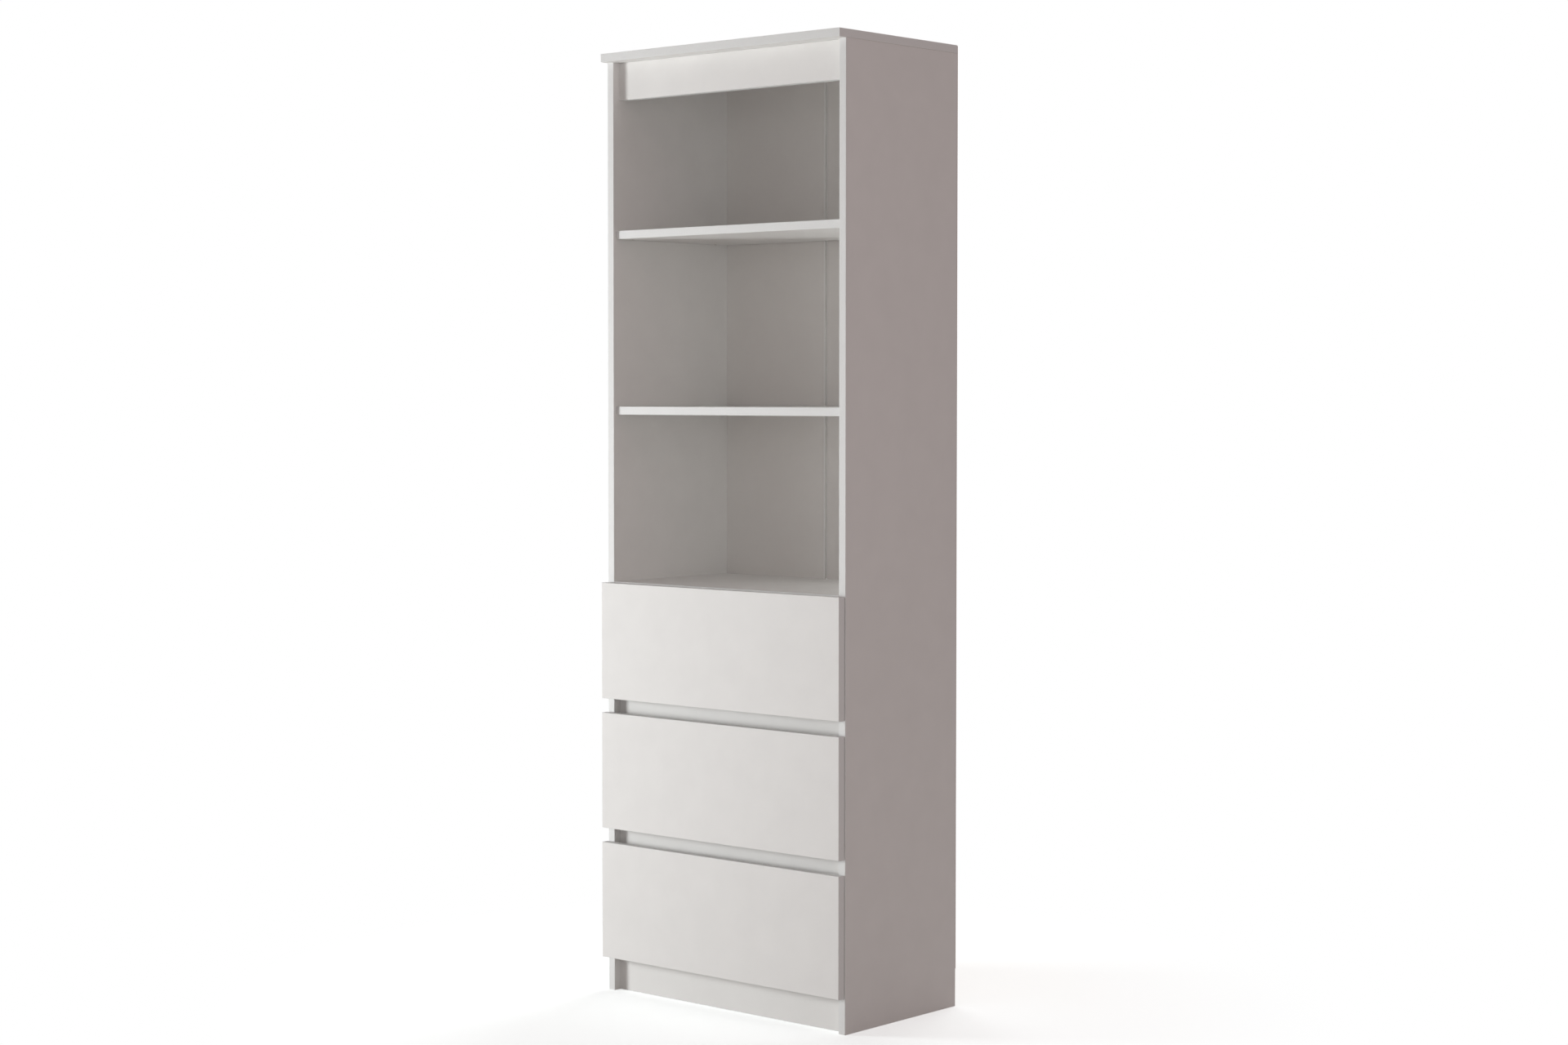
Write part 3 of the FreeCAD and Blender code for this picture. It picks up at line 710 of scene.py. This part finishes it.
# White epoxy powder coat: the melted powder leaves an orange peel of about 1.5 mm and a soft
# gloss.
epoxy, tree, place = bare_material("epoxy_coat_white")
peel = add(tree, "ShaderNodeTexNoise", {"Scale": 1 / (1.5 * MM), "Detail": 1.0}, {"Vector": place})
tone = add(
    tree, "ShaderNodeMix",
    {"data_type": "RGBA", COLOUR_A: linear("#DEDDD9"), COLOUR_B: linear("#E6E5E1")},
    {"Factor": peel.outputs["Fac"]},
)
relief = add(
    tree, "ShaderNodeBump", {"Strength": 0.3, "Distance": 0.05 * MM}, {"Height": peel.outputs["Fac"]}
)
surface = add(
    tree, "ShaderNodeBsdfPrincipled", {"IOR": 1.5, "Roughness": 0.3},
    {"Base Color": tone.outputs[COLOUR_OUT], "Normal": relief.outputs["Normal"]},
)
add(tree, "ShaderNodeOutputMaterial", {}, {"Surface": surface.outputs["BSDF"]})

DRAWERS = ("lower", "middle", "upper")
RUNNER_STEEL = 1.2 * MM
SCREW_INSET = 37 * MM     # from the ends of a channel or member
FOOT_MIDDLE = 6.5 * MM    # from the outer face of a drawer side to the screws under it
rivet = creased(turned([(0, 0.95), (2.4, 0.93), (3.7, 0.82), (4.2, 0.6), (4.25, 0.3), (4.25, -0.2),
                        (0, -0.2)]))
RIVET_SEAT = 0.4 * MM  # from the face of a roller to the head of its rivet

for drawer in DRAWERS:
    channel, member = f"cabinet_runners_{drawer}", f"drawer_runners_{drawer}"
    smooth_copy(channel, f"channels_{drawer}", epoxy)
    smooth_copy(member, f"members_{drawer}", epoxy)

    low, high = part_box(channel)
    screws = set_out(
        f"screws_channels_{drawer}", screw, zinc_plate,
        (high.x - RUNNER_STEEL, low.y + SCREW_INSET, (low.z + high.z) / 2), "-x",
        step=(0, high.y - low.y - 2 * SCREW_INSET, 0), count=2, spin=QUARTER,
    )
    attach(screws, "carcass")

    # Three screws go up through the foot of the member into the drawer side.
    low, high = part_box(member)
    outer_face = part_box(f"drawer_side_right_{drawer}")[1].x
    screws = set_out(
        f"screws_members_{drawer}", screw, zinc_plate,
        (outer_face - FOOT_MIDDLE, low.y + SCREW_INSET, low.z), "-z",
        step=(0, (high.y - low.y - 2 * SCREW_INSET) / 2, 0), count=3, spin=QUARTER,
    )
    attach(screws, f"drawer_{drawer}")

# ---------------------------------------------------------------- rollers
# Moulded nylon wheels, 20 mm across, with a hub, a thin web and a rim that ribs join. They turn
# on the axles as the drawer runs.

# Natural nylon: milky and a little waxy, with flow marks of some millimetres.
nylon, tree, place = bare_material("nylon_moulded")
flow = add(tree, "ShaderNodeTexNoise", {"Scale": 1 / (3 * MM), "Detail": 2.0}, {"Vector": place})
tone = add(
    tree, "ShaderNodeMix",
    {"data_type": "RGBA", COLOUR_A: linear("#D6D3C8"), COLOUR_B: linear("#E3E1D8")},
    {"Factor": flow.outputs["Fac"]},
)
surface = add(
    tree, "ShaderNodeBsdfPrincipled",
    {
        "IOR": 1.53, "Roughness": 0.42, "Subsurface Weight": 0.15, "Subsurface Scale": 1 * MM,
        "Subsurface Radius": (1.0, 0.9, 0.8),
    },
    {"Base Color": tone.outputs[COLOUR_OUT]},
)
add(tree, "ShaderNodeOutputMaterial", {}, {"Surface": surface.outputs["BSDF"]})

# Radial ribs, set round the hub of a turned wheel.
ribbing = bpy.data.node_groups.new("ribbed_wheel", "GeometryNodeTree")
for name, kind in (
    ("Wheel", "NodeSocketObject"), ("Ribs", "NodeSocketInt"), ("Rib radius", "NodeSocketFloat"),
    ("Rib size", "NodeSocketVector"), ("Middle", "NodeSocketVector"), ("Material", "NodeSocketMaterial"),
):
    ribbing.interface.new_socket(name, in_out="INPUT", socket_type=kind)
ribbing.interface.new_socket("Wheel", in_out="OUTPUT", socket_type="NodeSocketGeometry")
given = add(ribbing, "NodeGroupInput").outputs
wheel = add(ribbing, "GeometryNodeObjectInfo", {}, {"Object": given["Wheel"]})
ring = add(
    ribbing, "GeometryNodeMeshCircle", {}, {"Vertices": given["Ribs"], "Radius": given["Rib radius"]}
)
rib = add(ribbing, "GeometryNodeMeshCube", {}, {"Size": given["Rib size"]})
place = add(ribbing, "GeometryNodeInputPosition")
outward = add(
    ribbing, "FunctionNodeAlignRotationToVector", {"axis": "X"}, {"Vector": place.outputs["Position"]}
)
ribs = add(
    ribbing, "GeometryNodeInstanceOnPoints", {},
    {
        "Points": ring.outputs["Mesh"], "Instance": rib.outputs["Mesh"],
        "Rotation": outward.outputs["Rotation"],
    },
)
raised = add(
    ribbing, "GeometryNodeTransform", {},
    {"Geometry": ribs.outputs["Instances"], "Translation": given["Middle"]},
)
joined = add(ribbing, "GeometryNodeJoinGeometry", {}, {"Geometry": raised.outputs["Geometry"]})
ribbing.links.new(wheel.outputs["Geometry"], joined.inputs["Geometry"])
plain = add(ribbing, "GeometryNodeRealizeInstances", {}, {"Geometry": joined.outputs["Geometry"]})
coated = add(
    ribbing, "GeometryNodeSetMaterial", {},
    {"Geometry": plain.outputs["Geometry"], "Material": given["Material"]},
)
add(ribbing, "NodeGroupOutput", {}, {"Wheel": coated.outputs["Geometry"]})

WHEEL_WIDTH = 7.5
half_section = [(2.58, 3.75), (2.58, 0.3), (2.85, 0), (4.3, 0), (4.6, 0.3), (4.6, 2.4), (7.7, 2.4),
                (7.7, 0.3), (8.0, 0), (9.3, 0), (9.8, 0.2), (10, 0.7), (10, 3.75)]
section = half_section + [(radius, WHEEL_WIDTH - height) for radius, height in half_section[-2:0:-1]]
rough_wheel = placed("rough_wheel", creased(turned(section, closed=True, sides=48)))
ribbed = run_nodes("ribbed_wheel", ribbing, {
    "Wheel": rough_wheel, "Ribs": 6, "Rib radius": 6.15 * MM,
    "Rib size": (3.3 * MM, 0.9 * MM, 6 * MM), "Middle": (0, 0, WHEEL_WIDTH / 2 * MM),
    "Material": nylon,
})
wheel_form = bmesh.new()
wheel_form.from_mesh(ribbed.data)
for spare in (rough_wheel, ribbed):
    bpy.data.objects.remove(spare)

for drawer in DRAWERS:
    for place, facing, body in (
        ("cabinet", "-x", "carcass"), ("drawer", "+x", f"drawer_{drawer}"),
    ):
        node = f"{place}_rollers_{drawer}"
        low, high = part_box(node)
        y, z = (low.y + high.y) / 2, (low.z + high.z) / 2
        # The wheel stands on the web that carries it, and the rivet closes its far face.
        near, far, beyond = high.x, high.x - WHEEL_WIDTH * MM, -RIVET_SEAT
        if facing == "+x":
            near, far, beyond = far, near, RIVET_SEAT
        wheels = set_out(f"wheels_{place}_{drawer}", wheel_form, nylon, (near, y, z), facing)
        stands_for(wheels, node)
        rivets = set_out(
            f"rivets_{place}_{drawer}", rivet, bright_steel, (far + beyond, y, z), facing,
        )
        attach(rivets, body)

# ---------------------------------------------------------------- drawer boxes
# Sides and backs of the same white board, banded along the top. The back is screwed between
# the sides, and a cam in each side draws the front up.

BOX_CAM_DROP = 45 * MM    # cam below the top edge of a drawer side
BACK_SCREW_INSET = 30 * MM
flush_head = creased(sunk(
    turned([(0, 0.25), (2.6, 0.25), (3.3, 0.15), (3.4, 0), (3.4, -0.1), (1.5, -2.5), (0, -2.5)]),
    driver_cross(arm=2.0, width=0.42, top=0.25, depth=1.5),
))

for drawer in DRAWERS:
    body = f"drawer_{drawer}"
    right_side, back_board = f"drawer_side_right_{drawer}", f"drawer_back_{drawer}"
    for node in (f"drawer_side_left_{drawer}", right_side):
        board(node, {"+z": edge_band, "-x": melamine, "+x": melamine})
    board(back_board, {"+z": edge_band, "-y": melamine, "+y": melamine})

    low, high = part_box(right_side)
    cams = set_out(
        f"cams_{body}", cam, zinc_cast, (low.x, low.y + CAM_REACH, high.z - BOX_CAM_DROP), "-x",
        spin=QUARTER,
    )
    stands_for(cams, f"drawer_cam_{drawer}_locks")
    frame["nodes"][f"drawer_cam_{drawer}_bolts"].material_slots[0].material = zinc_plate
    frame["nodes"][f"drawer_dowels_{drawer}"].material_slots[0].material = beech

    back_low, back_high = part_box(back_board)
    rise = back_high.z - back_low.z - 2 * BACK_SCREW_INSET
    screws = set_out(
        f"screws_{back_board}", flush_head, zinc_plate,
        (high.x, (back_low.y + back_high.y) / 2, back_low.z + BACK_SCREW_INSET), "+x",
        step=(0, 0, rise), count=2, spin=QUARTER,
    )
    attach(screws, body)

# ---------------------------------------------------------------- drawer bottoms
# Hardboard sheets that slide into the grooves from behind, white above and bare below, and are
# nailed up into the drawer back.

BOTTOM_NAIL_STEP = 105 * MM

for drawer in DRAWERS:
    node = f"drawer_bottom_{drawer}"
    board(node, {"+z": lacquer}, core=hardboard, arris=0.1 * MM)
    back_low, back_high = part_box(f"drawer_back_{drawer}")
    nails = set_out(
        f"nails_{node}", nail, bright_steel,
        (BOTTOM_NAIL_STEP / 2, (back_low.y + back_high.y) / 2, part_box(node)[0].z), "-z",
        step=(BOTTOM_NAIL_STEP, 0, 0), count=2,
    )
    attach(nails, f"drawer_{drawer}")

# ---------------------------------------------------------------- drawer fronts
# Plain fronts that lap the side panels, with no handle: fingers reach in over or under their
# edges. All four edges are banded.

for drawer in DRAWERS:
    board(f"drawer_front_{drawer}", {
        "-x": edge_band, "+x": edge_band, "-z": edge_band, "+z": edge_band,
        "-y": melamine, "+y": melamine,
    })

# ---------------------------------------------------------------- floor, light and camera
# A pale studio: a wide floor that is white to the eye and still takes the shadow, and a dim
# room, faintly warm. Two soft boxes stand to the left of the front, and four weaker ones fill
# the rest.

scene = bpy.context.scene


def seen(tree):
    """A socket that is 1 for what the eye sees, straight or in a reflection or a glass."""
    rays = add(tree, "ShaderNodeLightPath").outputs
    straight_or_mirrored = add(
        tree, "ShaderNodeMath", {"operation": "MAXIMUM"},
        {0: rays["Is Camera Ray"], 1: rays["Is Glossy Ray"]},
    )
    return add(
        tree, "ShaderNodeMath", {"operation": "MAXIMUM"},
        {0: straight_or_mirrored.outputs["Value"], 1: rays["Is Transmission Ray"]},
    ).outputs["Value"]


floor_paint, tree, place = bare_material("studio_floor")
speckle = add(tree, "ShaderNodeTexNoise", {"Scale": 1 / (30 * MM), "Detail": 2.0}, {"Vector": place})
pale = add(
    tree, "ShaderNodeMix",
    {"data_type": "RGBA", COLOUR_A: linear("#D2D0CD"), COLOUR_B: linear("#D6D4D1")},
    {"Factor": speckle.outputs["Fac"]},
)
lit = add(tree, "ShaderNodeBsdfDiffuse", {}, {"Color": pale.outputs[COLOUR_OUT]})

# To the eye, the floor glows under its own light and shade, so that the shadow round the foot of
# the bookcase stays, and it fades into the plain white of the backdrop further out. Its cool
# tint evens out the warm room, so that the shadow is grey.
shaded = add(tree, "ShaderNodeBsdfDiffuse", {"Color": (0.94, 1, 1, 1)})
glow = add(tree, "ShaderNodeEmission", {"Color": (1, 1, 1, 1), "Strength": 0.49})
near = add(tree, "ShaderNodeAddShader", {}, {0: shaded.outputs["BSDF"], 1: glow.outputs["Emission"]})
far = add(tree, "ShaderNodeEmission", {"Color": (1, 1, 1, 1), "Strength": 1.0})
distance = add(tree, "ShaderNodeVectorMath", {"operation": "LENGTH"}, {0: place})
fade = add(
    tree, "ShaderNodeMapRange",
    {"interpolation_type": "SMOOTHSTEP", "From Min": 0.5, "From Max": 1.1},
    {"Value": distance.outputs["Value"]},
)
shown = add(
    tree, "ShaderNodeMixShader", {},
    {0: fade.outputs["Result"], 1: near.outputs["Shader"], 2: far.outputs["Emission"]},
)
mixed = add(
    tree, "ShaderNodeMixShader", {}, {0: seen(tree), 1: lit.outputs["BSDF"], 2: shown.outputs["Shader"]}
)
add(tree, "ShaderNodeOutputMaterial", {}, {"Surface": mixed.outputs["Shader"]})

FLOOR_SIZE = 40
floor_form = bmesh.new()
bmesh.ops.create_grid(floor_form, x_segments=1, y_segments=1, size=FLOOR_SIZE / 2)
floor = placed("floor", floor_form, floor_paint)

ROOM_LIGHT = 0.2
world = bpy.data.worlds.new("studio")
scene.world = world
world.use_nodes = True
tree = world.node_tree
tree.nodes.clear()
room = add(tree, "ShaderNodeBackground", {"Color": (1, 0.84, 0.82, 1), "Strength": ROOM_LIGHT})
backdrop = add(tree, "ShaderNodeBackground", {"Color": (1, 1, 1, 1), "Strength": 1.0})
mixed = add(
    tree, "ShaderNodeMixShader", {},
    {0: seen(tree), 1: room.outputs["Background"], 2: backdrop.outputs["Background"]},
)
add(tree, "ShaderNodeOutputWorld", {}, {"Surface": mixed.outputs["Shader"]})


def soft_box(name, place, aim, width, height, power, colour):
    """A rectangular soft lamp that stands at a place and faces a point."""
    lamp = bpy.data.lights.new(name, "AREA")
    lamp.shape, lamp.size, lamp.size_y = "RECTANGLE", width, height
    lamp.energy, lamp.color = power, colour
    stand = bpy.data.objects.new(name, lamp)
    stand.location = place
    stand.rotation_euler = (Vector(aim) - Vector(place)).to_track_quat("-Z", "Y").to_euler()
    scene.collection.objects.link(stand)


soft_box("key", (-4.8, -3.6, 1.3), (0, 0, 1.0), 1.6, 2.4, 60, (0.97, 1, 1))
soft_box("key_low", (-2.9, -2.2, 0.65), (0, 0, 0.7), 0.9, 1.1, 71, (0.97, 1, 1))
soft_box("front_fill", (2.4, -3.6, 1.2), (0, 0, 1.0), 2.0, 2.0, 15, (1, 1, 1))
soft_box("side_fill", (3.2, -0.4, 2.3), (0, 0, 1.5), 2.4, 1.4, 10, (1, 0.8, 0.8))
soft_box("top_fill", (-0.1, 0.6, 3.4), (0, 0.1, 1.82), 0.8, 0.6, 22, (1, 1, 1))
soft_box("rear_fill", (-1.2, 4.2, 1.5), (0, 0.2, 0.9), 2.0, 2.4, 45, (1, 1, 1))

# The camera stands to the right of the front, about as high as the lower shelf, and looks down
# by 2 degrees.
camera_data = bpy.data.cameras.new("camera")
camera_data.sensor_width, camera_data.lens = 36, 64.377
camera_data.shift_x, camera_data.shift_y = 0.0192, -0.02
camera = bpy.data.objects.new("camera", camera_data)
camera.location = (3.5284, -4.0474, 1.1655)
camera.rotation_euler = (math.radians(88.001), 0, math.radians(41.56))
scene.collection.objects.link(camera)
scene.camera = camera
scene.view_settings.view_transform = "Standard"
